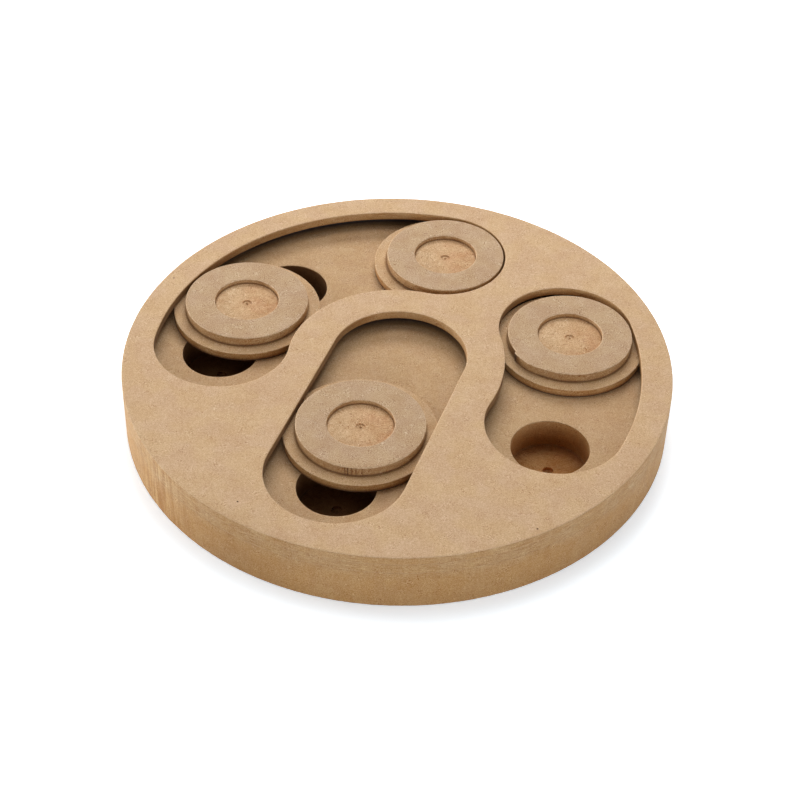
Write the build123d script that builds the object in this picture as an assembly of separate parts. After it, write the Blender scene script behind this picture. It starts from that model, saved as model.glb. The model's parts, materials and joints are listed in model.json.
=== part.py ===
from build123d import *
import os
from math import asin, atan2, cos, degrees, radians, sin, sqrt

# Dog puzzle feeder: a round wooden board with four treat wells under sliding lids.
# The body is three round boards glued face to face. The lowest holds the wells, the
# middle one has three wide tracks, and the top one has the same tracks cut narrower, so
# that its edges are a lip over them. Four round sliders lie in the tracks. Each is a wide
# flange disc, held down by the lip, with a smaller knob disc glued on top of it.
#
# Millimetres. The origin is the centre of the underside and +Z is up. Angles are degrees
# about the body's middle, counter-clockwise from +X, seen from above.

# ---------------------------------------------------------------- body
body_diameter = 250.0
base_thickness = 20.0
track_thickness = 5.0
lip_thickness = 4.0
rim_round = 0.5            # outer top edge, just broken with sandpaper
foot_round = 0.5           # outer bottom edge
mouth_round = 0.5          # edges of the slots and wells

# ---------------------------------------------------------------- tracks
rim_land = 12.5            # top face left between the curved slots and the rim
middle_land = 15.0         # the same at the lower end of the straight slot
undercut = 5.8             # how far the lip reaches over each side of a track
track_web = 5.0            # wood left between the straight track and the curved ones
end_web = 6.0              # wood left between the two curved tracks, end to end
left_track_start = 75.8
left_track_end = 174.1
right_track_end = -30.8
right_track_bend = 102.0   # the right track is flatter than the circle its ends are on
middle_track_end = -108.4
middle_top_x = 0.6         # centre of the straight track's upper end
middle_top_y = 2.7

# ---------------------------------------------------------------- wells
well_diameter = 35.0
well_floor = 6.0           # wood left under a well
well_mark = (4.8, 1.4)     # diameter and depth of the mark under the drill's centre
well_point = (1.8, 1.0)    # the same for its point, at the bottom of the mark
# angle and distance outside the track's centreline of the wells in the curved tracks
left_wells = ((172.1, 1.6), (130.9, -0.8))
right_wells = ((-34.8, 1.6),)
middle_well = (0.6, 0.6)   # past the end of the straight track's centreline, and to +X

# ---------------------------------------------------------------- sliders
knob_gap = 2.25            # from a centred knob to the side of its slot
flange_gap = 2.35          # from a centred flange to the side of its track
flange_top_gap = 0.7       # from the flange up to the lip
knob_drop = 0.1            # from the top face down to the knob's top
edge_round = 0.4           # edges of the discs
finger_recess_diameter = 30.0
finger_recess_depth = 2.2
finger_mark = (4.4, 0.6)   # as in the wells, but shallower
finger_point = (1.4, 0.8)
running_gap = 0.3          # where a slider's travel ends, before wood meets wood
left_track_share = 2 / 3   # of the free length in the left track, the left slider's part

# where the sliders stand at rest: place along the track, then distance across it
left_slider_rest = (151.0, 0.9)       # degrees, mm outwards
back_slider_rest = (74.7, 0.9)        # degrees, mm outwards
right_slider_rest = (1.9, 1.2)        # degrees back from the upper end, mm outwards
middle_slider_rest = (0.607, 0.5)     # share of the track's length, mm to the left

# ---------------------------------------------------------------- worked out
# From the straight track's upper end to the rim lie half a slot, the two undercuts with
# the web between them, a whole slot and the land, so the slots fill what those leave.
body_radius = body_diameter / 2
slot_width = (body_radius - rim_land - 2 * undercut - track_web - middle_top_y) / 1.5
track_width = slot_width + 2 * undercut
pitch_radius = body_radius - rim_land - slot_width / 2
track_floor = base_thickness
lip_bottom = track_floor + track_thickness

flange_radius = track_width / 2 - flange_gap
flange_thickness = track_thickness - flange_top_gap
knob_radius = slot_width / 2 - knob_gap
knob_thickness = lip_thickness + flange_top_gap - knob_drop

# the right track starts one web further on than the left track's first end
track_end_spacing = degrees(2 * asin((track_width + end_web) / (2 * pitch_radius)))
right_track_start = left_track_start - track_end_spacing


def polar(radius, angle):
    """The point at a radius and an angle about the body's middle."""
    return Vector(radius * cos(radians(angle)), radius * sin(radians(angle)))


def direction(vector):
    """The angle of a vector in the XY plane."""
    return degrees(atan2(vector.Y, vector.X))


right_upper_end = polar(pitch_radius, right_track_start)
right_lower_end = polar(pitch_radius, right_track_end)
right_chord = right_upper_end - right_lower_end
right_chord_out = Vector(right_chord.Y, -right_chord.X).normalized()
right_chord_depth = sqrt(right_track_bend**2 - (right_chord.length / 2) ** 2)
right_bend_centre = (right_upper_end + right_lower_end) / 2 - right_chord_out * right_chord_depth
right_upper_angle = direction(right_upper_end - right_bend_centre)
right_lower_angle = direction(right_lower_end - right_bend_centre)

middle_upper_end = Vector(middle_top_x, middle_top_y)
middle_lower_end = polar(body_radius - middle_land - slot_width / 2, middle_track_end)
middle_run = middle_lower_end - middle_upper_end


def curved_slot(centre, bend, start_angle, end_angle, width):
    """Outline of a round-ended slot of one width along an arc."""
    sweep = end_angle - start_angle
    return SlotArc(CenterArc((centre.X, centre.Y), bend, start_angle, sweep), width)


def slot_outlines(width):
    """The three tracks' outlines at one width: left, right and middle."""
    left = curved_slot(Vector(0, 0), pitch_radius, left_track_start, left_track_end, width)
    right = curved_slot(
        right_bend_centre, right_track_bend, right_lower_angle, right_upper_angle, width
    )
    straight = SlotCenterToCenter(middle_run.length, width, rotation=direction(middle_run))
    middle_place = (middle_upper_end + middle_lower_end) / 2
    middle = Pos(middle_place.X, middle_place.Y) * straight
    return [left, right, middle]


def well_centres():
    """The four wells: two in the left track, one at the lower end of each other track."""
    places = [polar(pitch_radius + out, angle) for angle, out in left_wells + right_wells]
    past, aside = middle_well
    ahead = middle_run.normalized()
    return places + [middle_lower_end + ahead * past + Vector(-ahead.Y, ahead.X) * aside]


def disc(radius, thickness, bottom):
    """A plain round board lying on the height given."""
    return Pos(0, 0, bottom) * extrude(Circle(radius), thickness)


def drill_mark(mark, point, mouth):
    """What a drill leaves at a hole's centre: a shallow step, and a cone at its bottom."""
    mark_diameter, mark_depth = mark
    point_diameter, point_depth = point
    step = disc(mark_diameter / 2, mark_depth, mouth - mark_depth)
    down = (Align.CENTER, Align.CENTER, Align.MAX)
    cone = Cone(0.0, point_diameter / 2, point_depth, align=down)
    return step + Pos(0, 0, mouth - mark_depth) * cone


def make_base_board():
    board = disc(body_radius, base_thickness, 0)
    board = fillet(board.edges().sort_by(Axis.Z)[0], foot_round)
    depth = base_thickness - well_floor
    for centre in well_centres():
        well = Pos(0, 0, well_floor) * extrude(Circle(well_diameter / 2), depth)
        well += drill_mark(well_mark, well_point, well_floor)
        board -= Pos(centre.X, centre.Y) * well
    mouths = board.faces().sort_by(Axis.Z)[-1].inner_wires()
    return fillet([edge for mouth in mouths for edge in mouth.edges()], mouth_round)


def make_track_board():
    face = Circle(body_radius)
    for track in slot_outlines(track_width):
        face -= track
    return Pos(0, 0, track_floor) * extrude(face, track_thickness)


def make_top_board():
    board = disc(body_radius, lip_thickness, lip_bottom)
    board = fillet(board.edges().sort_by(Axis.Z)[-1], rim_round)
    for slot in slot_outlines(slot_width):
        board -= Pos(0, 0, lip_bottom) * extrude(slot, lip_thickness)
    mouths = board.faces().sort_by(Axis.Z)[-1].inner_wires()
    return fillet([edge for mouth in mouths for edge in mouth.edges()], mouth_round)


def make_flange():
    flange = disc(flange_radius, flange_thickness, track_floor)
    return fillet(flange.edges(), edge_round)


def make_knob():
    bottom = track_floor + flange_thickness
    top = bottom + knob_thickness
    knob = disc(knob_radius, knob_thickness, bottom)
    knob = fillet(knob.edges().sort_by(Axis.Z)[-1], edge_round)
    recess_floor = top - finger_recess_depth
    knob -= disc(finger_recess_diameter / 2, finger_recess_depth, recess_floor)
    knob -= drill_mark(finger_mark, finger_point, recess_floor)
    mouths = knob.faces().sort_by(Axis.Z)[-1].inner_wires()
    return fillet([edge for mouth in mouths for edge in mouth.edges()], edge_round)


def slider_places():
    """The centre of each slider at rest."""
    left_angle, left_out = left_slider_rest
    back_angle, back_out = back_slider_rest
    right_back, right_out = right_slider_rest
    share, aside = middle_slider_rest
    along = direction(middle_run)
    return {
        "left": polar(pitch_radius + left_out, left_angle),
        "back": polar(pitch_radius + back_out, back_angle),
        "right": right_bend_centre
        + polar(right_track_bend + right_out, right_upper_angle - right_back),
        "middle": middle_upper_end + middle_run * share + polar(aside, along - 90),
    }


def make_parts():
    """Every node by name."""
    parts = {
        "base_board": make_base_board(),
        "track_board": make_track_board(),
        "top_board": make_top_board(),
    }
    flange = make_flange()
    knob = make_knob()
    for name, place in slider_places().items():
        parts[f"{name}_slider_flange"] = Pos(place.X, place.Y) * flange
        parts[f"{name}_slider_knob"] = Pos(place.X, place.Y) * knob
    return parts


def end_turn(across, bend):
    """Degrees that a slider's centre can go past the centre of a track's round end."""
    reach = sqrt((knob_gap - running_gap) ** 2 - across**2)
    return degrees(reach / (bend + across))


def print_travel():
    """The limits of each slider's travel from rest, in degrees or, if straight, in mm."""
    left_angle, left_out = left_slider_rest
    back_angle, back_out = back_slider_rest
    left_last = left_track_end + end_turn(left_out, pitch_radius)
    back_first = left_track_start - end_turn(back_out, pitch_radius)
    inner_path = pitch_radius + min(left_out, back_out)
    apart = degrees(2 * asin((flange_radius + running_gap / 2) / inner_path))
    # two sliders share the left track, so each keeps to its own stretch of it
    left_first = left_last - left_track_share * (left_last - back_first - apart)
    back_last = left_first - apart
    print("left", round(left_first - left_angle, 2), round(left_last - left_angle, 2))
    print("back", round(back_first - back_angle, 2), round(back_last - back_angle, 2))

    right_back, right_out = right_slider_rest
    right_past = end_turn(right_out, right_track_bend)
    right_sweep = right_upper_angle - right_lower_angle
    right_least = right_back - right_sweep - right_past
    print("right", round(right_least, 2), round(right_back + right_past, 2))
    print("right slider turns about", round(right_bend_centre.X, 3), round(right_bend_centre.Y, 3))

    share, aside = middle_slider_rest
    middle_past = sqrt((knob_gap - running_gap) ** 2 - aside**2)
    up = share * middle_run.length + middle_past
    down = (1 - share) * middle_run.length + middle_past
    print("middle", round(-up, 2), round(down, 2))
    print("middle slider runs towards", round(direction(middle_run), 3))


os.makedirs("parts", exist_ok=True)
for node, shape in make_parts().items():
    export_step(shape, f"parts/{node}.step")
print_travel()
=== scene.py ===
import json
from collections import namedtuple
from math import asin, atan2, cos, degrees, pi, radians, sin, tau

import bmesh
import bpy
from mathutils import Matrix, Vector, noise


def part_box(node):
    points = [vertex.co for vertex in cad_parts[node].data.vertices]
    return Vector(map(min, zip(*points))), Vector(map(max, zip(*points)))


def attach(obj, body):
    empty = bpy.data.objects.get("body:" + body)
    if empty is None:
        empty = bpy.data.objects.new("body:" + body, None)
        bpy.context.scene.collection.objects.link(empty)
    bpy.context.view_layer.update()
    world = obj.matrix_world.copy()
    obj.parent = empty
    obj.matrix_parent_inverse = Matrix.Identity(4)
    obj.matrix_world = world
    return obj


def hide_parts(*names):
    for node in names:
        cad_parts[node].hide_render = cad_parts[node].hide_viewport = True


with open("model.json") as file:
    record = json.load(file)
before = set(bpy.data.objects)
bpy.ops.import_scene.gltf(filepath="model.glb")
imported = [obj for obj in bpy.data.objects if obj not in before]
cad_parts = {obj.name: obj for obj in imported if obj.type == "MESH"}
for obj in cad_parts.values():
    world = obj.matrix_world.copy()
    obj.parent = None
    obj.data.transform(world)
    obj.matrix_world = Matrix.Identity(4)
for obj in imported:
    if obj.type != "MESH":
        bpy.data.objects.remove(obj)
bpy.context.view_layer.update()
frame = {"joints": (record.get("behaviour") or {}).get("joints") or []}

# A round wooden puzzle feeder for a dog: three fibreboard discs glued face to face, with
# four sliders in their tracks. Each piece of the CAD model gets a finished piece in its
# place, with the edges, drill marks and roughness of cut board. Metres, +Z up.
MM = 0.001

# ---------------------------------------------------------------- sizes, as in the CAD model
RIM_LAND = 12.5 * MM
MIDDLE_LAND = 15.0 * MM
KNOB_GAP = 2.25 * MM
FLANGE_GAP = 2.35 * MM
END_WEB = 6.0 * MM
LEFT_TRACK_START = radians(75.8)
LEFT_TRACK_END = radians(174.1)
RIGHT_TRACK_END = radians(-30.8)
MIDDLE_TRACK_END = radians(-108.4)
MIDDLE_TOP = Vector((0.6 * MM, 2.7 * MM, 0))
WELL_RADIUS = 17.5 * MM
WELL_FLOOR = 6.0 * MM
# degrees, and millimetres outside the pitch circle, of the wells in the curved tracks
LEFT_WELLS = ((172.1, 1.6), (130.9, -0.8))
RIGHT_WELLS = ((-34.8, 1.6),)
MIDDLE_WELL = (0.6, 0.6)     # millimetres past the straight track's centreline, and to +X
RECESS_RADIUS = 15.0 * MM
RECESS_DEPTH = 2.2 * MM

# what a drill leaves at a hole's centre: a shallow step, and a cone at its bottom
Mark = namedtuple("Mark", "radius depth point_radius point_depth")
WELL_MARK = Mark(2.4 * MM, 1.4 * MM, 0.9 * MM, 1.0 * MM)
RECESS_MARK = Mark(2.2 * MM, 0.6 * MM, 0.7 * MM, 0.8 * MM)

# ---------------------------------------------------------------- roundings of the edges
# The rim's, slots' and wells' edges are crisper than in the CAD model, the others as in it.
RIM_ROUND = 0.3 * MM
MOUTH_ROUND = 0.3 * MM       # the slots' upper edges
WELL_ROUND = 0.2 * MM
FOOT_ROUND = 0.5 * MM
DISC_ROUND = 0.4 * MM
KNOB_FOOT_ROUND = 0.8 * DISC_ROUND
SEAM_ROUND = 0.15 * MM       # where two boards meet at the rim
ROUND_SEGMENTS = 4

# ---------------------------------------------------------------- sizes from the frame
body_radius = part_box("top_board")[1].x
base_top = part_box("base_board")[1].z
lip_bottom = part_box("top_board")[0].z
lip_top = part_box("top_board")[1].z
flange_low, flange_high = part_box("left_slider_flange")
knob_low, knob_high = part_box("left_slider_knob")
flange_radius = (flange_high.x - flange_low.x) / 2
knob_radius = (knob_high.x - knob_low.x) / 2
slot_width = 2 * (knob_radius + KNOB_GAP)
track_width = 2 * (flange_radius + FLANGE_GAP)
pitch_radius = body_radius - RIM_LAND - slot_width / 2
joints = {joint["name"]: joint for joint in frame["joints"]}
SIDES_TOP = lip_top - 0.45 * MM   # the painted highlight and painted shade of a side's trim stay below its rounded edge

# ---------------------------------------------------------------- the finish's own sizes
OUTLINE_STEP = 0.6 * MM      # between points along an outline that shows
KNOB_STEP = 0.35 * MM        # the same round a knob, whose side has cutter marks
HIDDEN_STEP = 2.0 * MM       # the same, and from row to row, where nothing shows
WALL_STEP = 0.8 * MM         # between rows up a wall
RIM_STEP = 1.0 * MM          # the same up the rim
FLOOR_STEP = 0.7 * MM        # between rings on a drilled floor
FLAT_MARGIN = 2.5 * MM       # flat rows beside an edge, before the plain face starts
SLIDING_GAP = 0.02 * MM      # hairline under a flange, so that it slides clear of the floor
POINT_TIP = 0.2              # share of a drill mark's cone that its last ring leaves over
HARD_EDGE = radians(40)      # a sharper edge than this isn't shaded smooth

WALL_BITE = 0.03 * MM        # how deep the chips in a wall are
RIM_BITE = 0.08 * MM         # the same up the rim
EDGE_BITE = 0.12 * MM        # how much deeper they are on an edge
FINE_CHIP = 0.9 * MM         # from chip to chip
BROAD_CHIP = 5 * MM          # from one chipped stretch to the next

CHATTER_STEP = 1.5 * MM      # from ridge to ridge where the cutter shook
CHATTER_DEPTH = 0.07 * MM
LEAST_CHATTER = 0.07         # everywhere round the rim
# bearing, spread to both sides, both in degrees, and strength of the stretches with more
CHATTER_SPOTS = ((-145, 14, 0.9), (-75, 12, 0.15), (20, 20, 0.4), (105, 14, 0.7), (160, 10, 0.5))

PIT_RADIUS = 0.35 * MM       # the pinholes in the top face
PIT_DEPTH = 0.3 * MM
PIT_PLACES = ((-65.0, -95.1), (59.8, -106.1), (-108.1, 54.5))

# painted shade in the wells of the left, right and middle tracks: how dark the tops and feet
# of the sides, and the floors, are
WELL_SHADE = ((0.63, 0.72, 0.61), (0.0, 0.31, 0.0), (0.63, 0.72, 0.61))
WELL_SIDE_DRILLED = 0.45     # how much of the drilled floor's colour a well's side has
FLOOR_EDGE_SHADE = 0.5            # painted shade: how dark the edge of a well's floor is at least
MARK_SHADE = 0.4            # painted shade: the same of the mark in its middle
FOOT_SHADE = 0.5              # painted shade on the foot's rounded edge, where it meets the floor: how dark it is
SLOT_SIDE_SHADE = 0.22           # painted shade on a slot's side, growing towards its foot
JOINT_SHADE = 0.5           # painted shade along the line where a knob stands on its flange
# painted shade at a side's foot: the height up to which it is darkest, the height where it
# ends, and how dark it is
SLOT_FOOT = (0.0, 1.0 * MM, 0.5)
FLANGE_FOOT = (0.5 * MM, 1.8 * MM, 0.9)
KNOB_FOOT = (0.3 * MM, 1.2 * MM, 0.6)
RECESS_FOOT = (0.0, 0.9 * MM, 0.5)
# bearing, spread and strength of stretches with painted shade
RIM_SHADE_SPOTS = ((-122, 16, 0.2), (-42, 30, 0.1))
LEFT_SIDE_SHADE = (185, 75, 0.8)      # on the sides of the slots

# the right knob's side steps out at one bearing and falls back slowly: angles in degrees
STEP_BEARING = -152.3
STEP_SWEEP = 36              # the whole stretch that stands out
STEP_RISE = 1.5
STEP_FALL = 16
STEP_PROUD = 1.1 * MM
STEP_HIGHLIGHT = 2.2              # how far past the step its upright edge is worn and has a painted highlight
STEP_SHADE = (0.85, 12, 9)       # painted shade past the step: strength, where it ends and how long it fades
LEAD_SHADE = (0.7, 14)           # painted shade before the step: strength, and how long it fades
# bearings and strengths of the upright ticks in the middle knob's side
TICKS = ((-101.7, 0.9), (-99.2, 0.9), (-95.8, 0.8), (-92.0, 0.7), (-86.5, 0.6))
TICK_SPREAD = 0.9
TICK_DEPTH = 0.2 * MM
BACK_KNOB_CUT = 0.45 * MM    # how much smaller in radius the back knob came out


def polar(radius, angle):
    return Vector((radius * cos(angle), radius * sin(angle), 0))


def flat(place):
    return Vector((place.x, place.y, 0))


# ---------------------------------------------------------------- spines and outlines
def carry_round(bm, vertex, centre, angle, step):
    """Carries an outline on from its last vertex about a centre. Returns the new last vertex."""
    arc_length = (vertex.co - centre).length * abs(angle)
    steps = max(3, round(arc_length / step))
    made = bmesh.ops.spin(
        bm, geom=[vertex], cent=centre, axis=(0, 0, 1), angle=angle, steps=steps
    )
    return made["geom_last"][0]


def carry_straight(bm, vertex, run, step):
    """The same along a straight run."""
    steps = round(run.length / step)
    for _ in range(steps):
        vertex = bmesh.ops.extrude_vert_indiv(bm, verts=[vertex])["verts"][0]
        bmesh.ops.translate(bm, verts=[vertex], vec=run / steps)
    return vertex


class Run:
    """A straight spine. A disc's or a drilled hole's has no length and is just its centre."""

    def __init__(self, start, run=Vector((0, 0, 0))):
        self.start = start
        self.run = run

    def nearest(self, place):
        if not self.run.length:
            return self.start
        share = (place - self.start).dot(self.run) / self.run.length_squared
        return self.start + self.run * min(max(share, 0), 1)

    def draw(self, bm, distance, step):
        ahead = self.run.normalized() if self.run.length else Vector((0, 1, 0))
        side = Vector((ahead.y, -ahead.x, 0)) * distance
        last = bm.verts.new(self.start + side)
        last = carry_straight(bm, last, self.run, step)
        last = carry_round(bm, last, self.start + self.run, pi, step)
        last = carry_straight(bm, last, -self.run, step)
        carry_round(bm, last, self.start, pi, step)


class Bend:
    """A spine along an arc."""

    def __init__(self, centre, radius, first, last):
        self.centre = centre
        self.radius = radius
        self.first = first
        self.last = last

    def nearest(self, place):
        across = place - self.centre
        middle = (self.first + self.last) / 2
        reach = (self.last - self.first) / 2
        turn = (atan2(across.y, across.x) - middle + pi) % tau - pi
        turn = min(max(turn, -reach), reach)
        return self.centre + polar(self.radius, middle + turn)

    def draw(self, bm, distance, step):
        sweep = self.last - self.first
        last = bm.verts.new(self.centre + polar(self.radius + distance, self.first))
        last = carry_round(bm, last, self.centre, sweep, step)
        last = carry_round(bm, last, self.centre + polar(self.radius, self.last), pi, step)
        last = carry_round(bm, last, self.centre, -sweep, step)
        carry_round(bm, last, self.centre + polar(self.radius, self.first), pi, step)


def only(kind, geometry):
    return [element for element in geometry if isinstance(element, kind)]


def outline(bm, spine, distance, step):
    """A closed ring of edges round a spine, sketched apart because that is much quicker."""
    sketch = bmesh.new()
    spine.draw(sketch, distance, step)
    bmesh.ops.remove_doubles(sketch, verts=sketch.verts[:], dist=step / 100)
    drawn = bpy.data.meshes.new("sketch")
    sketch.to_mesh(drawn)
    sketch.free()
    already = set(bm.edges)
    bm.from_mesh(drawn)
    bpy.data.meshes.remove(drawn)
    return [edge for edge in bm.edges if edge not in already]


# ---------------------------------------------------------------- profiles
# A row of a wall: how far it lies from the spine, its height, how worn its edge is and how
# much painted highlight it has, how much it looks like a drilled floor, how much painted shade
# it has, and how far its roughness eats into the board.
Row = namedtuple("Row", "distance height worn drilled scorched bite")


def rows(corners, wall_bite=WALL_BITE, drilled=0.0, scorched=0.0, step=WALL_STEP):
    """Rows through corners of (distance, height, rounding). The rounded ones have to be square."""
    points = []
    for index, (distance, height, rounding) in enumerate(corners):
        here = Vector((distance, height))
        if not rounding:
            points.append((here, 0.0))
            continue
        back = (Vector(corners[index - 1][:2]) - here).normalized()
        on = (Vector(corners[index + 1][:2]) - here).normalized()
        centre = here + (back + on) * rounding
        for part in range(ROUND_SEGMENTS + 1):
            turn = pi / 2 * part / ROUND_SEGMENTS
            worn = sin(2 * turn)
            points.append((centre - (on * cos(turn) + back * sin(turn)) * rounding, worn))
    made = []
    for (start, worn), (end, next_wear_and_highlight) in zip(points, points[1:]):
        parts = max(1, round((end - start).length / step))
        for part in range(parts):
            place = start.lerp(end, part / parts)
            share = worn + (next_wear_and_highlight - worn) * part / parts
            bite = wall_bite + EDGE_BITE * share
            made.append(Row(place.x, place.y, share, drilled, scorched, bite))
    end, worn = points[-1]
    made.append(Row(end.x, end.y, worn, drilled, scorched, wall_bite + EDGE_BITE * worn))
    return made


def shade_by_height(profile, unshaded, dark, most, least=0.0):
    """The same rows, with painted shade growing from an unshaded height to a dark one."""
    made = []
    for row in profile:
        share = min(max((row.height - unshaded) / (dark - unshaded), 0.0), 1.0)
        made.append(row._replace(scorched=least + (most - least) * share))
    return made


def shade_above_foot(profile, foot, reach):
    """The same rows, with painted shade just above the height of a wall's foot."""
    dark, unshaded, most = reach
    return shade_by_height(profile, foot + unshaded, foot + dark, most)


def drilled_floor(radius, height, mark):
    """Rows inwards over a drilled floor and down into the drill's mark, and its tip's height."""
    mark_floor = height - mark.depth
    cone_end = mark_floor - mark.point_depth * (1 - POINT_TIP)
    corners = [
        (radius, height, 0),
        (mark.radius, height, 0),
        (mark.radius, mark_floor, 0),
        (mark.point_radius, mark_floor, 0),
        (mark.point_radius * POINT_TIP, cone_end, 0),
    ]
    return rows(corners, drilled=1.0, step=FLOOR_STEP), mark_floor - mark.point_depth


def unevenness(place, size):
    """Smooth noise between 0 and 1 with features of one size."""
    return 0.5 + 0.5 * noise.noise(place / size)


def chipping(place):
    """How deeply an edge is chipped there, between 0 and about 1."""
    fine = unevenness(place, FINE_CHIP)
    broad = unevenness(place + Vector((0.5, 0, 0)), BROAD_CHIP)
    return max(0.0, 1.6 * fine * broad - 0.1)


class Shaper:
    """Builds one piece's mesh from rings carried along profiles round spines."""

    def __init__(self, chatter_at=None, shade_at=None):
        self.bm = bmesh.new()
        self.chatter_at = chatter_at
        self.shade_at = shade_at
        layers = self.bm.verts.layers
        # these layers carry the painted highlight along worn edges, and the painted shade, to the
        # material
        self.worn = layers.float.new("worn")
        self.drilled = layers.float.new("drilled")
        self.scorched = layers.float.new("scorched")
        self.chatter = layers.float.new("chatter")
        self.from_drill = layers.float_vector.new("from_drill")

    def place(self, vertex, spine, row, into_wood, trim):
        here = flat(vertex.co)
        middle = spine.nearest(here)
        outward = (here - middle).normalized()
        height = Vector((0, 0, row.height))
        at = middle + outward * row.distance + height
        distance = row.distance + into_wood * row.bite * chipping(at)
        bearing = degrees(atan2(outward.y, outward.x))
        worn = row.worn
        scorched = row.scorched
        if trim:
            cut, more_wear_and_highlight, more_painted_shade = trim(bearing)
            distance -= cut
            if row.height < SIDES_TOP:
                worn = max(worn, more_wear_and_highlight)
                scorched = max(scorched, more_painted_shade)
        if self.chatter_at and into_wood < 0:
            chatter = self.chatter_at(bearing)
            ridge = unevenness(flat(at), CHATTER_STEP)
            distance -= CHATTER_DEPTH * chatter * ridge
            scorched = max(scorched, self.shade_at(bearing, row.height))
            vertex[self.chatter] = chatter
        vertex.co = middle + outward * distance + height
        vertex[self.worn] = worn
        vertex[self.drilled] = row.drilled
        vertex[self.scorched] = scorched
        vertex[self.from_drill] = outward * distance

    def start(self, spine, row, step=OUTLINE_STEP, into_wood=1, trim=None):
        """The first ring of a wall."""
        ring = outline(self.bm, spine, row.distance, step)
        for vertex in {vertex for edge in ring for vertex in edge.verts}:
            self.place(vertex, spine, row, into_wood, trim)
        return ring

    def carry(self, ring, spine, profile, into_wood=1, trim=None):
        """Carries a ring on through the rows of a profile. Returns the last ring."""
        for row in profile:
            made = bmesh.ops.extrude_edge_only(self.bm, edges=ring)["geom"]
            ring = only(bmesh.types.BMEdge, made)
            for vertex in only(bmesh.types.BMVert, made):
                self.place(vertex, spine, row, into_wood, trim)
        return ring

    def wall(self, spine, profile, step=OUTLINE_STEP, into_wood=1, trim=None):
        """A whole wall. Returns its first and last rings."""
        first = self.start(spine, profile[0], step, into_wood, trim)
        return first, self.carry(first, spine, profile[1:], into_wood, trim)

    def close(self, rings):
        """A flat face between rings of one height."""
        edges = [edge for ring in rings for edge in ring]
        bmesh.ops.triangle_fill(self.bm, edges=edges, use_beauty=True, normal=(0, 0, 1))

    def point(self, ring, place):
        """Closes a ring with a cone's point."""
        made = bmesh.ops.extrude_edge_only(self.bm, edges=ring)["geom"]
        bmesh.ops.pointmerge(self.bm, verts=only(bmesh.types.BMVert, made), merge_co=place)

    def finish(self, name, node, body, material):
        """Makes the piece and puts it in the place of its CAD node."""
        bmesh.ops.recalc_face_normals(self.bm, faces=self.bm.faces[:])
        for face in self.bm.faces:
            face.smooth = True
        for edge in self.bm.edges:
            if len(edge.link_faces) == 2 and edge.calc_face_angle() > HARD_EDGE:
                edge.smooth = False
        mesh = bpy.data.meshes.new(name)
        self.bm.to_mesh(mesh)
        self.bm.free()
        mesh.materials.append(material)
        piece = bpy.data.objects.new(name, mesh)
        bpy.context.scene.collection.objects.link(piece)
        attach(piece, body)
        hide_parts(node)
        return piece


# ---------------------------------------------------------------- shader nodes
def feed(tree, node, inputs):
    """Gives a node its inputs, which are sockets to link or values to set."""
    for name, value in inputs.items():
        if isinstance(value, bpy.types.NodeSocket):
            tree.links.new(value, node.inputs[name])
        else:
            node.inputs[name].default_value = value


def add(tree, kind, inputs=None, **settings):
    """Adds a shader node."""
    made = tree.nodes.new("ShaderNode" + kind)
    for name, value in settings.items():
        setattr(made, name, value)
    feed(tree, made, inputs or {})
    return made


def vector(tree, operation, *values):
    return add(tree, "VectorMath", dict(enumerate(values)), operation=operation).outputs[0]


def scaled(tree, place, factor):
    return add(tree, "VectorMath", {0: place, "Scale": factor}, operation="SCALE").outputs[0]


def length(tree, place):
    return add(tree, "VectorMath", {0: place}, operation="LENGTH").outputs["Value"]


def noise_value(tree, place, size, detail=2.0, roughness=0.5, shift=0.0):
    """Noise with features of a size in millimetres, mostly between 0.3 and 0.7."""
    moved = vector(tree, "ADD", place, (shift, shift, shift))
    made = add(
        tree,
        "TexNoise",
        {"Vector": moved, "Scale": 1 / size, "Detail": detail, "Roughness": roughness},
    )
    return made.outputs["Fac"]


def ramp(tree, value, low, high, to_low=0.0, to_high=1.0):
    """A smooth step of a value from one range to another."""
    made = add(
        tree,
        "MapRange",
        {"Value": value, "From Min": low, "From Max": high, "To Min": to_low, "To Max": to_high},
        interpolation_type="SMOOTHSTEP",
    )
    return made.outputs["Result"]


def maths(tree, operation, *values):
    return add(tree, "Math", dict(enumerate(values)), operation=operation).outputs[0]


def blend(tree, factor, first, second, blend_type="MIX"):
    inputs = {0: factor, 6: first, 7: second}
    made = add(tree, "Mix", inputs, data_type="RGBA", blend_type=blend_type, clamp_factor=True)
    return made.outputs[2]


def make_group(name, inputs, outputs):
    """An empty node group with its input and output nodes."""
    tree = bpy.data.node_groups.new(name, "ShaderNodeTree")
    for socket, kind in inputs:
        tree.interface.new_socket(socket, in_out="INPUT", socket_type="NodeSocket" + kind)
    for socket, kind in outputs:
        tree.interface.new_socket(socket, in_out="OUTPUT", socket_type="NodeSocket" + kind)
    return tree, tree.nodes.new("NodeGroupInput").outputs, tree.nodes.new("NodeGroupOutput")


def group(tree, of, inputs):
    made = tree.nodes.new("ShaderNodeGroup")
    made.node_tree = of
    feed(tree, made, inputs)
    return made.outputs


SCREEN_GAMMA = 2.2
TONE_SHIFT = (0.78, 1.0, 1.04)    # red, green and blue of a change in brightness


def srgb(red, green, blue):
    """A linear colour from the 0 to 255 values of a screen colour."""

    def linear(level):
        level /= 255
        return level / 12.92 if level <= 0.04045 else ((level + 0.055) / 1.055) ** 2.4

    return (linear(red), linear(green), linear(blue), 1)


def tone(tree, colour, shade):
    """Shifts a colour's brightness on screen, by nearly the same in red, green and blue."""
    screen = add(tree, "Gamma", {"Color": colour, "Gamma": 1 / SCREEN_GAMMA}).outputs[0]
    shifted = vector(tree, "ADD", screen, vector(tree, "MULTIPLY", shade, TONE_SHIFT))
    return add(tree, "Gamma", {"Color": shifted, "Gamma": SCREEN_GAMMA}).outputs[0]


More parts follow.
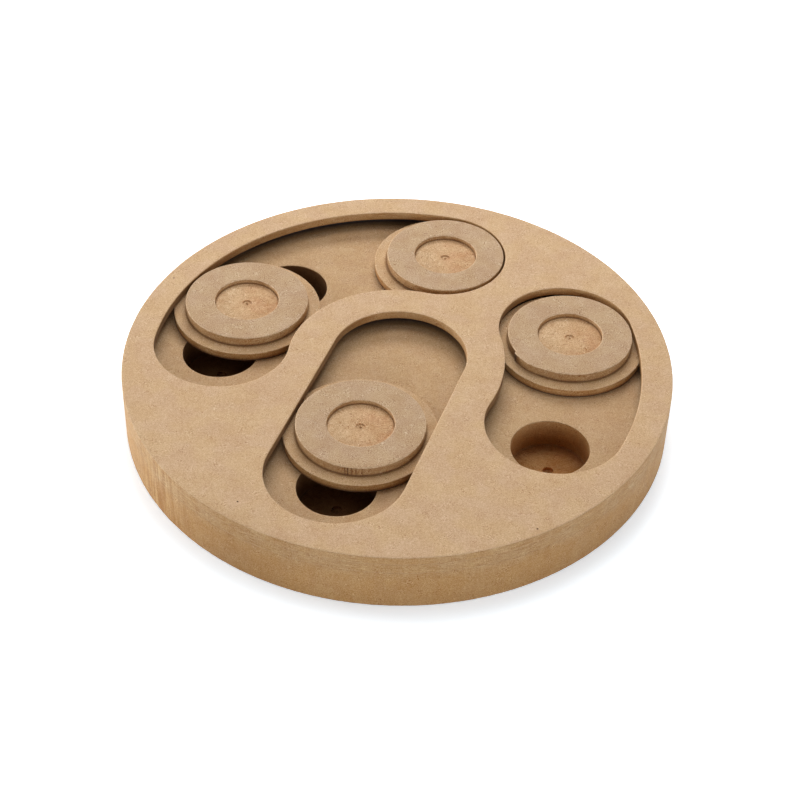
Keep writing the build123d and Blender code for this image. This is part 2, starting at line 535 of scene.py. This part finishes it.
def band(tree, value, middle, reach):
    """1 where a value is near a middle, falling to 0 at the reach on both sides of it."""
    away = maths(tree, "ABSOLUTE", maths(tree, "SUBTRACT", value, middle))
    return ramp(tree, away, 0.3 * reach, reach, 1, 0)


def dots(tree, place, spacing, least, most, shift):
    """Small round dots near the middles of some of the cells that a spacing gives."""
    moved = vector(tree, "ADD", place, (shift, shift, shift))
    cells = add(tree, "TexVoronoi", {"Vector": moved, "Scale": 1 / spacing, "Randomness": 1.0})
    chosen = add(tree, "SeparateColor", {0: cells.outputs["Color"]})
    size = ramp(tree, chosen.outputs[0], least, 1.0, 0.0, 0.13)
    dot = ramp(tree, maths(tree, "SUBTRACT", cells.outputs["Distance"], size), -0.04, 0.01, 1, 0)
    dot = maths(tree, "MULTIPLY", dot, ramp(tree, chosen.outputs[0], least, least + 0.05))
    return maths(tree, "MULTIPLY", dot, ramp(tree, chosen.outputs[1], 0.0, 1.0, 0.03, most))


# The look of the board: sizes in millimetres, strengths in shares of the screen's brightness.
PATCH_SIZE = 13              # stretches of the second colour
CLOUD_SIZE = 9
CLOUD_STRENGTH = 0.014
MOTTLE_SIZE = 0.45
MOTTLE_STRENGTH = 0.07
FIBRE_SIZE = 0.9
FIBRE_REACH = 0.05
CLUMP_SIZE = 4.5             # clumps of fibres
PALE_FIBRE = 0.09
FIBRE_SHADOW = -0.15
SPECKS = (2.5, 0.5, 0.2)     # spacing, share of the places without one, most strength
CHIPS = (3.0, 0.6, 0.11)     # the same for the pale chips
STREAK_SIZE = 0.7
STREAK_STRENGTH = 0.07
CHATTER_DARK = -0.1
CHATTER_PALE = 0.09
TORN_SIZE = 0.9
TORN_STRENGTH = 0.05
SPOKES = 14.0                # how closely the torn lines outwards from a drill's centre lie
ONE_SIDE_SHADE = -0.04      # painted shade on one side of a drilled floor
# tints that multiply the board's colour, and two colours that take its place
RUDDY = (1.0, 0.86, 0.84, 1)      # stretches of a drilled floor
TANNED = (0.99, 0.96, 0.88, 1)    # stretches of a side
PAINTED_SHADE_TINT = (1.0, 0.86, 0.66, 1)    # browning of light painted shade
DEEPEST_PAINTED_SHADE = srgb(34, 22, 19)        # deepest painted shade
FRESH_FIBRE_AND_HIGHLIGHT = srgb(232, 203, 165)        # fresh fibre and painted highlight along a worn edge
BUMP_DEPTH = 0.15 * MM
WALL_ROUGHNESS = 0.72        # a cutter leaves a side a little smoother than a pressed face
FACE_ROUGHNESS = 0.86


def make_grain():
    """Pressed wood fibre: a fine mottle with curled fibres, dark specks and pale chips."""
    tree, given, result = make_group(
        "pressed_fibre",
        [
            ("Place", "Vector"),
            ("Colour", "Color"),
            ("Patch Colour", "Color"),
            ("Contrast", "Float"),
        ],
        [("Colour", "Color"), ("Height", "Float")],
    )
    place = given["Place"]
    contrast = given["Contrast"]
    patches = ramp(tree, noise_value(tree, place, PATCH_SIZE, detail=1), 0.38, 0.62)
    patched = blend(tree, patches, given["Colour"], given["Patch Colour"])
    cloud = noise_value(tree, place, CLOUD_SIZE, detail=2, shift=20)
    cloud = ramp(tree, cloud, 0.3, 0.7, -CLOUD_STRENGTH, CLOUD_STRENGTH)
    fine = noise_value(tree, place, MOTTLE_SIZE, detail=1, roughness=0.6, shift=40)
    mottle = ramp(tree, fine, 0.2, 0.8, -MOTTLE_STRENGTH, MOTTLE_STRENGTH)
    shade = maths(tree, "ADD", mottle, cloud)
    # the fibres are curled pale lines in clumps, each with a painted shadow next to it
    fibre = noise_value(tree, place, FIBRE_SIZE, detail=1, shift=80)
    clump = noise_value(tree, place, CLUMP_SIZE, detail=3, roughness=0.6, shift=240)
    clump = ramp(tree, clump, 0.47, 0.68, 0.1, 1)
    pale = maths(tree, "MULTIPLY", band(tree, fibre, 0.5, FIBRE_REACH), clump)
    dark = maths(tree, "MULTIPLY", band(tree, fibre, 0.41, FIBRE_REACH), clump)
    shade = maths(tree, "MULTIPLY_ADD", pale, PALE_FIBRE, shade)
    shade = maths(tree, "MULTIPLY_ADD", dark, FIBRE_SHADOW, shade)
    specks = dots(tree, place, *SPECKS, shift=0)
    chips = dots(tree, place, *CHIPS, shift=33)
    shade = maths(tree, "SUBTRACT", maths(tree, "ADD", shade, chips), specks)
    shaded = tone(tree, patched, maths(tree, "MULTIPLY", shade, contrast))
    tree.links.new(shaded, result.inputs["Colour"])
    rise = maths(tree, "MULTIPLY_ADD", pale, 0.5, maths(tree, "MULTIPLY", fine, 0.5))
    sunk = maths(tree, "MULTIPLY", specks, 4)
    tree.links.new(maths(tree, "SUBTRACT", rise, sunk), result.inputs["Height"])
    return tree


def make_cut_marks():
    """Marks of the cutter on a wall: level streaks, and upright chatter where it shook."""
    tree, given, result = make_group(
        "cut_marks",
        [("Place", "Vector"), ("Colour", "Color"), ("Chatter", "Float"), ("Streaks", "Float")],
        [("Colour", "Color"), ("Height", "Float")],
    )
    place = given["Place"]
    upright = vector(tree, "MULTIPLY", place, (1, 1, 0.05))
    level = vector(tree, "MULTIPLY", place, (0.15, 0.15, 1))
    chatter = noise_value(tree, upright, CHATTER_STEP / MM, detail=2, roughness=0.6)
    streaks = noise_value(tree, level, STREAK_SIZE, detail=3, roughness=0.65, shift=60)
    where = ramp(tree, noise_value(tree, place, 9, detail=1, shift=620), 0.4, 0.65, 0.25, 1)
    streaked = maths(tree, "MULTIPLY", given["Streaks"], where)
    ridges = ramp(tree, chatter, 0.35, 0.65, CHATTER_DARK, CHATTER_PALE)
    lines = ramp(tree, streaks, 0.3, 0.7, -STREAK_STRENGTH, STREAK_STRENGTH)
    shade = maths(
        tree,
        "ADD",
        maths(tree, "MULTIPLY", ridges, given["Chatter"]),
        maths(tree, "MULTIPLY", lines, streaked),
    )
    tree.links.new(tone(tree, given["Colour"], shade), result.inputs["Colour"])
    height = maths(
        tree,
        "ADD",
        maths(tree, "MULTIPLY", chatter, given["Chatter"]),
        maths(tree, "MULTIPLY", streaks, streaked),
    )
    tree.links.new(height, result.inputs["Height"])
    return tree


def make_drill_marks():
    """A drilled floor: patches of torn fibre, with fine lines outwards from the centre."""
    tree, given, result = make_group(
        "drill_marks",
        [("From Drill", "Vector"), ("Place", "Vector"), ("Colour", "Color")],
        [("Colour", "Color"), ("Height", "Float")],
    )
    across = given["From Drill"]
    centre = vector(tree, "SUBTRACT", given["Place"], across)
    reach = length(tree, across)
    bearing = vector(tree, "NORMALIZE", across)
    rightwards = add(tree, "SeparateXYZ", {0: bearing}).outputs[0]
    lines = vector(tree, "ADD", scaled(tree, across, 0.3), scaled(tree, bearing, SPOKES))
    lines = vector(tree, "ADD", lines, centre)
    torn = noise_value(tree, lines, TORN_SIZE, detail=3, roughness=0.6)
    near_edge = ramp(tree, reach, 2, 11, 0.25, 1)
    where = noise_value(tree, given["Place"], 6, detail=1, shift=500)
    torn_share = maths(tree, "MULTIPLY", near_edge, ramp(tree, where, 0.38, 0.62, 0.2, 1))
    patch = noise_value(tree, given["Place"], 2.2, detail=4, roughness=0.65, shift=300)
    tear = ramp(tree, torn, 0.3, 0.7, -TORN_STRENGTH, TORN_STRENGTH)
    shade = maths(
        tree,
        "ADD",
        maths(tree, "MULTIPLY", tear, torn_share),
        ramp(tree, patch, 0.3, 0.7, -TORN_STRENGTH / 2, TORN_STRENGTH / 2),
    )
    # painted shade makes one side of the floor darker
    side_shade = maths(tree, "MULTIPLY", rightwards, ramp(tree, reach, 1, 7, 0, ONE_SIDE_SHADE))
    shaded = tone(tree, given["Colour"], maths(tree, "ADD", shade, side_shade))
    ruddy = noise_value(tree, given["Place"], 9, detail=2, shift=700)
    ruddy = ramp(tree, ruddy, 0.45, 0.65, 0, 0.4)
    # painted shade also makes the ruddy stretches stronger towards the floor's right side
    ruddy = maths(tree, "MULTIPLY", ruddy, ramp(tree, rightwards, -0.5, 0.6, 0.1, 1))
    warm = blend(tree, ruddy, shaded, RUDDY, "MULTIPLY")
    tree.links.new(warm, result.inputs["Colour"])
    height = maths(tree, "ADD", maths(tree, "MULTIPLY", torn, torn_share), patch)
    tree.links.new(height, result.inputs["Height"])
    return tree


grain = make_grain()
cut_marks = make_cut_marks()
drill_marks = make_drill_marks()


def side_colour(tree, place, in_hole, wall, upper_wall, drilled):
    """A side's colour, and how strongly it is streaked, by its height and how it was cut."""
    up = add(tree, "SeparateXYZ", {0: place}).outputs[2]
    joint = base_top / MM
    # the two upper boards are cut more coarsely than the thick one under them
    streaks = ramp(tree, up, joint - 3, joint + 1, 0.35, 1)
    sides = blend(tree, ramp(tree, up, joint - 6, joint + 2), wall, upper_wall)
    return blend(tree, in_hole, sides, drilled), streaks


def with_wear_highlight_and_shade(tree, place, colour, worn, wear_and_highlight_strength, scorched):
    """The same colour, paler along its worn edges with fresh fibre and a painted highlight, and
    darkened by painted shade.
    """
    broken = ramp(tree, noise_value(tree, place, 2.0, detail=3, shift=7), 0.3, 0.6)
    edge = maths(tree, "MULTIPLY", worn, broken)
    colour = blend(tree, maths(tree, "MULTIPLY", edge, wear_and_highlight_strength), colour, FRESH_FIBRE_AND_HIGHLIGHT)
    # painted shade browns the board before it darkens it almost to black
    colour = blend(tree, ramp(tree, scorched, 0, 0.45), colour, PAINTED_SHADE_TINT, "MULTIPLY")
    return blend(tree, scorched, colour, DEEPEST_PAINTED_SHADE)


def fibreboard(name, face, patch, wall, upper_wall=None, drilled=None, contrast=1.0, wear_and_highlight_strength=0.4):
    """Fibreboard with its colours on a pressed face, a cut wall and a drilled floor."""
    material = bpy.data.materials.new(name)
    material.use_nodes = True
    tree = material.node_tree
    tree.nodes.clear()
    place = scaled(tree, add(tree, "TexCoord").outputs["Object"], 1 / MM)
    across = add(tree, "Attribute", attribute_name="from_drill").outputs["Vector"]
    across = scaled(tree, across, 1 / MM)
    worn, in_hole, scorched, chatter = (
        add(tree, "Attribute", attribute_name=layer).outputs["Fac"]
        for layer in ("worn", "drilled", "scorched", "chatter")
    )
    facing = add(tree, "SeparateXYZ", {0: add(tree, "NewGeometry").outputs["Normal"]})
    level = ramp(tree, maths(tree, "ABSOLUTE", facing.outputs[2]), 0.35, 0.85)
    upper_wall = upper_wall or wall
    drilled = drilled or face
    sides, streaks = side_colour(tree, place, in_hole, wall, upper_wall, drilled)

    def grained(colour, second, strength):
        inputs = {"Place": place, "Colour": colour, "Patch Colour": second, "Contrast": strength}
        return group(tree, grain, inputs)

    plain = grained(face, patch, contrast)
    inputs = {"Place": place, "Colour": sides, "Chatter": chatter, "Streaks": streaks}
    cut = group(tree, cut_marks, inputs)
    tanned = blend(tree, 1.0, cut["Colour"], TANNED, "MULTIPLY")
    cut_grain = grained(cut["Colour"], tanned, 1.05 * contrast)
    inputs = {"From Drill": across, "Place": place, "Colour": drilled}
    torn = group(tree, drill_marks, inputs)
    torn_grain = grained(torn["Colour"], torn["Colour"], contrast)
    floor = blend(tree, in_hole, plain["Colour"], torn_grain["Colour"])
    colour = blend(tree, level, cut_grain["Colour"], floor)
    colour = with_wear_highlight_and_shade(tree, place, colour, worn, wear_and_highlight_strength, scorched)

    marks = maths(tree, "MULTIPLY", torn["Height"], in_hole)
    inputs = {0: level, 2: cut["Height"], 3: maths(tree, "ADD", plain["Height"], marks)}
    height = add(tree, "Mix", inputs, data_type="FLOAT").outputs[0]
    bump = add(tree, "Bump", {"Height": height, "Strength": 0.6, "Distance": BUMP_DEPTH})
    rough = ramp(tree, noise_value(tree, place, 3, detail=2, shift=500), 0.3, 0.7, -0.08, 0.08)
    rough = maths(tree, "ADD", rough, ramp(tree, level, 0, 1, WALL_ROUGHNESS, FACE_ROUGHNESS))
    inputs = {"Base Color": colour, "Roughness": rough, "Normal": bump.outputs[0]}
    shader = add(tree, "BsdfPrincipled", {**inputs, "Specular IOR Level": 0.5})
    add(tree, "OutputMaterial", {"Surface": shader.outputs[0]})
    return material


# ---------------------------------------------------------------- the pieces
def left_track():
    return Bend(Vector((0, 0, 0)), pitch_radius, LEFT_TRACK_START, LEFT_TRACK_END)


def right_track():
    spacing = 2 * asin((track_width + END_WEB) / (2 * pitch_radius))
    upper = polar(pitch_radius, LEFT_TRACK_START - spacing)
    lower = polar(pitch_radius, RIGHT_TRACK_END)
    centre = flat(Vector(joints["right_slider_slide"]["pos_m"]))
    first = lower - centre
    last = upper - centre
    return Bend(centre, first.length, atan2(first.y, first.x), atan2(last.y, last.x))


def middle_track():
    lower = polar(body_radius - MIDDLE_LAND - slot_width / 2, MIDDLE_TRACK_END)
    return Run(MIDDLE_TOP, lower - MIDDLE_TOP)


def wells_of_tracks():
    """The centres of each track's wells, in the order of the tracks."""
    curved = [
        [polar(pitch_radius + out * MM, radians(angle)) for angle, out in wells]
        for wells in (LEFT_WELLS, RIGHT_WELLS)
    ]
    straight = tracks[2]
    past, aside = MIDDLE_WELL
    ahead = straight.run.normalized()
    side = Vector((-ahead.y, ahead.x, 0))
    return curved + [[straight.start + straight.run + (ahead * past + side * aside) * MM]]


tracks = [left_track(), right_track(), middle_track()]
middle_of_body = Run(Vector((0, 0, 0)))


def rim_rows(corners):
    return rows(corners, wall_bite=RIM_BITE, step=RIM_STEP)


def nearness(bearing, at, spread):
    """1 at one bearing, falling to 0 at the spread on both sides of it."""
    return max(0.0, 1 - abs((bearing - at + 180) % 360 - 180) / spread)


def strongest(bearing, spots):
    """The most that spots of (bearing, spread, strength) give at a bearing."""
    return max(strength * nearness(bearing, at, spread) for at, spread, strength in spots)


def rim_chatter(bearing):
    """How strongly the cutter shook there as it went round the rim."""
    return max(LEAST_CHATTER, strongest(bearing, CHATTER_SPOTS))


def rim_shade(bearing, height):
    """How much painted shade the rim has there: most low down, past the chatter."""
    return (1 - 0.6 * height / lip_top) * strongest(bearing, RIM_SHADE_SPOTS)


# A trim says, at a bearing, how far a side is cut back, and how much painted highlight and painted
# shade it has.
def shaded_left_side(bearing):
    """The left sides of the slots, with painted shade that makes them darker than the right ones.
    """
    at, spread, strength = LEFT_SIDE_SHADE
    return 0.0, 0.0, strength * nearness(bearing, at, spread) ** 0.5


def stepped_side(bearing):
    """The step in the right knob's side, past which the cutter left a little more wood. Its edge
    has a painted highlight, with painted shade on both sides of it.
    """
    past = (bearing - STEP_BEARING) % 360
    before = (STEP_BEARING - bearing) % 360
    if past < STEP_SWEEP:
        proud = STEP_PROUD * min(1.0, past / STEP_RISE, (STEP_SWEEP - past) / STEP_FALL)
        strength, end, fade = STEP_SHADE
        return -proud, float(past < STEP_HIGHLIGHT), strength * min(1.0, max(0.0, (end - past) / fade))
    strength, fade = LEAD_SHADE
    return 0.0, float(before < STEP_RISE), strength * max(0.0, 1 - before / fade)


def ticked_side(bearing):
    """Upright ticks cut across the front of the middle knob's side, with painted shade in them."""
    depth = max(strength * nearness(bearing, at, TICK_SPREAD) for at, strength in TICKS)
    return TICK_DEPTH * depth, 0.0, depth


def turned_down_side(bearing):
    """The back knob came out a little smaller than the others."""
    return BACK_KNOB_CUT, 0.0, 0.0


KNOB_TRIMS = {"right": stepped_side, "back": turned_down_side, "middle": ticked_side}


def prick(shaper, centre):
    """A pinhole in the top face. Returns the ring round its mouth."""
    pit = Run(centre)
    mouth = rows([(PIT_RADIUS * 1.3, lip_top, 0)])
    hole = [(PIT_RADIUS, lip_top, 0), (PIT_RADIUS * 0.6, lip_top - PIT_DEPTH, 0)]
    # painted shade inside the pinhole
    hole = rows(hole, scorched=0.8)
    top, ring = shaper.wall(pit, mouth + hole, step=PIT_RADIUS / 2)
    shaper.point(ring, centre + Vector((0, 0, lip_top - 1.5 * PIT_DEPTH)))
    return top


def make_lip_board(material):
    """The top board, with the slots that the knobs run in."""
    shaper = Shaper(rim_chatter, rim_shade)
    tops = []
    undersides = []
    half = slot_width / 2
    for track in tracks:
        profile = rows(
            [(half + FLAT_MARGIN, lip_top, 0), (half, lip_top, MOUTH_ROUND), (half, lip_bottom, 0)]
        )
        # a slot's side gets painted shade, growing downwards, and more at its foot
        side = shade_by_height(profile, lip_top - MOUTH_ROUND, lip_bottom, SLOT_SIDE_SHADE)
        foot = shade_above_foot(profile, lip_bottom, SLOT_FOOT)
        profile = [max(pair, key=lambda row: row.scorched) for pair in zip(side, foot)]
        top, ring = shaper.wall(track, profile, trim=shaded_left_side)
        # painted shade on the lip's underside
        overhang = rows([(track_width / 2, lip_bottom, 0)], scorched=1.0)
        tops.append(top)
        undersides.append(shaper.carry(ring, track, overhang))
    profile = rim_rows(
        [
            (body_radius - RIM_ROUND - FLAT_MARGIN, lip_top, 0),
            (body_radius, lip_top, RIM_ROUND),
            (body_radius, lip_bottom, SEAM_ROUND),
            (body_radius - FLAT_MARGIN, lip_bottom, 0),
        ]
    )
    top, underside = shaper.wall(middle_of_body, profile, into_wood=-1)
    pits = [prick(shaper, Vector((x * MM, y * MM, 0))) for x, y in PIT_PLACES]
    shaper.close(tops + pits + [top])
    shaper.close(undersides + [underside])
    return shaper.finish("lip_board", "top_board", "body", material)


def make_track_board(material):
    """The board between, with the tracks that the flanges run in."""
    shaper = Shaper(rim_chatter, rim_shade)
    tops = []
    undersides = []
    half = track_width / 2
    for track in tracks:
        # the tracks' sides under the lip are in full painted shade
        profile = rows([(half, lip_bottom, 0), (half, base_top, 0)], scorched=1.0, step=HIDDEN_STEP)
        top, underside = shaper.wall(track, profile, step=HIDDEN_STEP)
        tops.append(top)
        undersides.append(underside)
    profile = rim_rows(
        [
            (body_radius - FLAT_MARGIN, lip_bottom, 0),
            (body_radius, lip_bottom, SEAM_ROUND),
            (body_radius, base_top, SEAM_ROUND),
            (body_radius - FLAT_MARGIN, base_top, 0),
        ]
    )
    top, underside = shaper.wall(middle_of_body, profile, into_wood=-1)
    shaper.close(tops + [top])
    shaper.close(undersides + [underside])
    return shaper.finish("routed_board", "track_board", "body", material)


def drill_well(shaper, centre, upper_shade, lower_shade, floor_shade):
    """Drills a well. Returns the ring round its mouth."""
    well = Run(centre)
    mouth = rows(
        [
            (WELL_RADIUS + FLAT_MARGIN, base_top, 0),
            (WELL_RADIUS, base_top, WELL_ROUND),
            (WELL_RADIUS, base_top - 1.5 * WELL_ROUND, 0),
        ]
    )
    under = base_top - 3 * WELL_ROUND
    side = rows([(WELL_RADIUS, under, 0), (WELL_RADIUS, WELL_FLOOR, 0)], drilled=WELL_SIDE_DRILLED)
    # painted shade down the well's side, and on its floor below
    side = shade_by_height(side, under, WELL_FLOOR + 3 * MM, lower_shade, upper_shade)
    floor, tip = drilled_floor(WELL_RADIUS - FLOOR_STEP, WELL_FLOOR, WELL_MARK)

    def floor_shade_at(distance):
        at_edge = FLOOR_EDGE_SHADE * (distance / WELL_RADIUS) ** 5
        in_mark = MARK_SHADE * (distance < WELL_MARK.radius)
        return max(floor_shade, at_edge, in_mark)

    floor = [row._replace(scorched=floor_shade_at(row.distance)) for row in floor]
    top, ring = shaper.wall(well, mouth)
    ring = shaper.carry(ring, well, side + floor)
    shaper.point(ring, centre + Vector((0, 0, tip)))
    return top


def make_well_board(material):
    """The thick bottom board, with its four drilled wells. It is dark where a lip is over it."""
    shaper = Shaper(rim_chatter, rim_shade)
    glued = []
    for track, wells, well_shade in zip(tracks, wells_of_tracks(), WELL_SHADE):
        lit = rows([(slot_width / 2, base_top, 0)])
        shaded = rows([(slot_width / 2 + FLAT_MARGIN, base_top, 0)], scorched=0.5)
        darkest = rows([(track_width / 2, base_top, 0)], scorched=1.0)
        floor, ring = shaper.wall(track, lit + shaded + darkest)
        shaper.close([floor] + [drill_well(shaper, centre, *well_shade) for centre in wells])
        glued.append(ring)
    profile = rim_rows(
        [
            (body_radius - FLAT_MARGIN, base_top, 0),
            (body_radius, base_top, SEAM_ROUND),
            (body_radius, 0, FOOT_ROUND),
            (body_radius - FOOT_ROUND - FLAT_MARGIN, 0, 0),
        ]
    )
    # the foot's rounded edge gets painted shade where the board meets the floor
    above = [row for row in profile if row.height >= FOOT_ROUND]
    foot = [row._replace(scorched=FOOT_SHADE) for row in profile if row.height < FOOT_ROUND]
    top, underside = shaper.wall(middle_of_body, above + foot, into_wood=-1)
    shaper.close(glued + [top])
    shaper.close([underside])
    return shaper.finish("well_board", "base_board", "body", material)


def middle_of(node):
    low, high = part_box(node)
    return flat((low + high) / 2)


def make_flange(side, material):
    """A slider's wide lower disc."""
    node = f"{side}_slider_flange"
    low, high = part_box(node)
    spine = Run(middle_of(node))
    shaper = Shaper()
    bottom = low.z + SLIDING_GAP
    edge = rows(
        [
            (flange_radius - FLAT_MARGIN, bottom, 0),
            (flange_radius, bottom, DISC_ROUND),
            (flange_radius, high.z, DISC_ROUND),
            (flange_radius - 2 * DISC_ROUND, high.z, 0),
        ]
    )
    # painted shade along the flange's lower edge, where it meets the floor
    edge = shade_above_foot(edge, low.z, FLANGE_FOOT)
    # the face has no painted shade up to a millimetre from the knob, and painted shade where they
    # are joined
    face = rows([(knob_radius + 1.0 * MM, high.z, 0)])
    joint = [(knob_radius + 0.2 * MM, high.z, 0), (knob_radius - FLAT_MARGIN, high.z, 0)]
    profile = edge + face + rows(joint, scorched=JOINT_SHADE)
    underside, top = shaper.wall(spine, profile, into_wood=-1)
    shaper.close([underside])
    shaper.close([top])
    return shaper.finish(f"{side}_flange", node, f"{side}_slider", material)


def make_knob(side, material):
    """A slider's upper disc, with the drilled recess for a paw or a nose."""
    node = f"{side}_slider_knob"
    low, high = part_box(node)
    centre = middle_of(node)
    spine = Run(centre)
    recess_floor = high.z - RECESS_DEPTH
    shaper = Shaper()
    outside = rows(
        [
            (knob_radius - FLAT_MARGIN, low.z, 0),
            (knob_radius, low.z, KNOB_FOOT_ROUND),
            (knob_radius, high.z, DISC_ROUND),
            (knob_radius - FLAT_MARGIN, high.z, 0),
        ]
    )
    # painted shade at the knob's foot, where it stands on its flange
    outside = shade_above_foot(outside, low.z, KNOB_FOOT)
    underside, ring = shaper.wall(
        spine, outside, step=KNOB_STEP, into_wood=-1, trim=KNOB_TRIMS.get(side)
    )
    mouth = rows(
        [
            (RECESS_RADIUS + FLAT_MARGIN, high.z, 0),
            (RECESS_RADIUS, high.z, DISC_ROUND),
            (RECESS_RADIUS, recess_floor, 0),
        ]
    )
    # painted shade at the foot of the recess's side
    mouth = shade_above_foot(mouth, recess_floor, RECESS_FOOT)
    floor, tip = drilled_floor(RECESS_RADIUS, recess_floor, RECESS_MARK)
    ring = shaper.carry(ring, spine, mouth + floor[1:])
    shaper.point(ring, centre + Vector((0, 0, tip)))
    shaper.close([underside])
    return shaper.finish(f"{side}_knob", node, f"{side}_slider", material)


base_mdf = fibreboard(
    "base_mdf",
    face=srgb(196, 159, 116),
    patch=srgb(195, 158, 117),
    wall=srgb(184, 143, 93),
    upper_wall=srgb(184, 147, 102),
    drilled=srgb(190, 137, 80),
)
top_mdf = fibreboard(
    "top_mdf",
    face=srgb(203, 168, 127),
    patch=srgb(202, 167, 130),
    wall=srgb(184, 146, 100),
)
flange_mdf = fibreboard(
    "flange_mdf",
    face=srgb(201, 164, 120),
    patch=srgb(199, 163, 122),
    wall=srgb(176, 133, 84),
    contrast=1.3,
)
knob_mdf = fibreboard(
    "knob_mdf",
    face=srgb(185, 153, 117),
    patch=srgb(184, 152, 119),
    wall=srgb(171, 134, 92),
    drilled=srgb(200, 161, 118),
    contrast=1.4,
    wear_and_highlight_strength=0.65,
)

make_lip_board(top_mdf)
make_track_board(base_mdf)
make_well_board(base_mdf)
for side in ("left", "back", "right", "middle"):
    make_flange(side, flange_mdf)
    make_knob(side, knob_mdf)


# ---------------------------------------------------------------- floor, light and camera
# The floor glows, so that only the shadow round the feeder is darker than white, and grey,
# not brown. It glows least beside the feeder and fully from the shadow's reach on. The lamps
# reach its far parts less, so it glows more again there and stays white.
FLOOR_GLOW = (0.47, 0.52, 0.56, 1)
SHADOW_REACH = 17 * MM
NEAR_GLOW = 0.85
FAR_GLOW = 1.6
FADE_START = 2 * body_radius
FADE_END = 6 * body_radius
PAPER = (0.9, 0.9, 0.9, 1)
WHITE = (1, 1, 1, 1)
WORLD_LIGHT = 0.02           # what the white world adds to the lamps' light


def seen_directly(tree):
    """1 where something is looked at, also in a reflection or through glass, and else 0."""
    seen = add(tree, "LightPath").outputs
    direct = maths(tree, "MAXIMUM", seen["Is Camera Ray"], seen["Is Glossy Ray"])
    return maths(tree, "MAXIMUM", direct, seen["Is Transmission Ray"])


def make_floor():
    """A plain white floor that keeps the feeder's shadow."""
    bm = bmesh.new()
    bmesh.ops.create_grid(bm, x_segments=1, y_segments=1, size=2.0)
    mesh = bpy.data.meshes.new("floor")
    bm.to_mesh(mesh)
    bm.free()
    material = bpy.data.materials.new("white_paper")
    material.use_nodes = True
    tree = material.node_tree
    tree.nodes.clear()
    paper = add(tree, "BsdfDiffuse", {"Color": PAPER})
    out = length(tree, add(tree, "TexCoord").outputs["Object"])
    near = ramp(tree, out, body_radius, body_radius + SHADOW_REACH, NEAR_GLOW, FAR_GLOW)
    far = ramp(tree, out, FADE_START, FADE_END, 0, FAR_GLOW)
    strength = maths(tree, "MULTIPLY", seen_directly(tree), maths(tree, "ADD", near, far))
    glow = add(tree, "Emission", {"Color": FLOOR_GLOW, "Strength": strength})
    lit = add(tree, "AddShader", {0: paper.outputs[0], 1: glow.outputs[0]})
    add(tree, "OutputMaterial", {"Surface": lit.outputs[0]})
    mesh.materials.append(material)
    floor = bpy.data.objects.new("floor", mesh)
    bpy.context.scene.collection.objects.link(floor)


def make_world():
    """White where it is seen, and a soft even light from all round."""
    world = bpy.data.worlds.new("studio")
    bpy.context.scene.world = world
    world.use_nodes = True
    tree = world.node_tree
    tree.nodes.clear()
    strength = ramp(tree, seen_directly(tree), 0, 1, WORLD_LIGHT, 1.0)
    background = add(tree, "Background", {"Color": WHITE, "Strength": strength})
    add(tree, "OutputWorld", {"Surface": background.outputs[0]})


# soft boxes aimed at the feeder: name, bearing and height angle in degrees, distance, width,
# depth, power in watts, colour
LAMPS = (
    ("overhead_strip", 90, 67, 1.0, 1.0, 0.4, 3.3, (1.0, 1.0, 1.0)),
    ("back_box", 90, 36, 1.4, 1.0, 0.4, 12.7, (1.0, 1.0, 1.0)),
    ("left_back_box", 158, 10, 1.4, 0.6, 0.4, 12.3, (1.0, 1.0, 1.0)),
    ("left_front_box", 215, 14, 1.4, 0.6, 0.4, 3.0, (1.0, 0.99, 0.97)),
    ("front_box", 275, 17, 1.4, 0.6, 0.4, 5.0, (0.97, 0.98, 1.0)),
    ("right_front_box", 330, 15, 1.4, 0.6, 0.4, 2.6, (0.98, 0.98, 1.0)),
    ("right_side_box", 0, 32, 1.4, 0.6, 0.5, 2.3, (1.0, 1.0, 1.0)),
    ("left_side_box", 180, 45, 1.4, 0.6, 0.6, 1.5, (1.0, 0.97, 0.94)),
)


def make_lamp(name, bearing, climb, distance, width, depth, power, colour):
    light = bpy.data.lights.new(name, "AREA")
    light.shape = "RECTANGLE"
    light.size = width
    light.size_y = depth
    light.energy = power
    light.color = colour
    lamp = bpy.data.objects.new(name, light)
    bpy.context.scene.collection.objects.link(lamp)
    away = polar(cos(radians(climb)), radians(bearing)) + Vector((0, 0, sin(radians(climb))))
    lamp.location = distance * away
    lamp.rotation_euler = (-away).to_track_quat("-Z", "Y").to_euler()


CAMERA_PLACE = Vector((0.00157, -0.63695, 0.57123))
CAMERA_TILT = radians(48.289)     # up from looking straight down
CAMERA_ROLL = radians(1.61)
CAMERA_LENS = 82.55               # millimetres, as the sensor's width
SENSOR_WIDTH = 36


def make_camera():
    """A camera before the feeder, looking down on it."""
    data = bpy.data.cameras.new("camera")
    data.lens = CAMERA_LENS
    data.sensor_width = SENSOR_WIDTH
    camera = bpy.data.objects.new("camera", data)
    bpy.context.scene.collection.objects.link(camera)
    tilt = Matrix.Rotation(CAMERA_TILT, 4, "X")
    roll = Matrix.Rotation(CAMERA_ROLL, 4, "Z")
    camera.matrix_world = Matrix.Translation(CAMERA_PLACE) @ tilt @ roll
    bpy.context.scene.camera = camera


make_floor()
make_world()
for lamp in LAMPS:
    make_lamp(*lamp)
make_camera()
bpy.context.scene.view_settings.view_transform = "Standard"
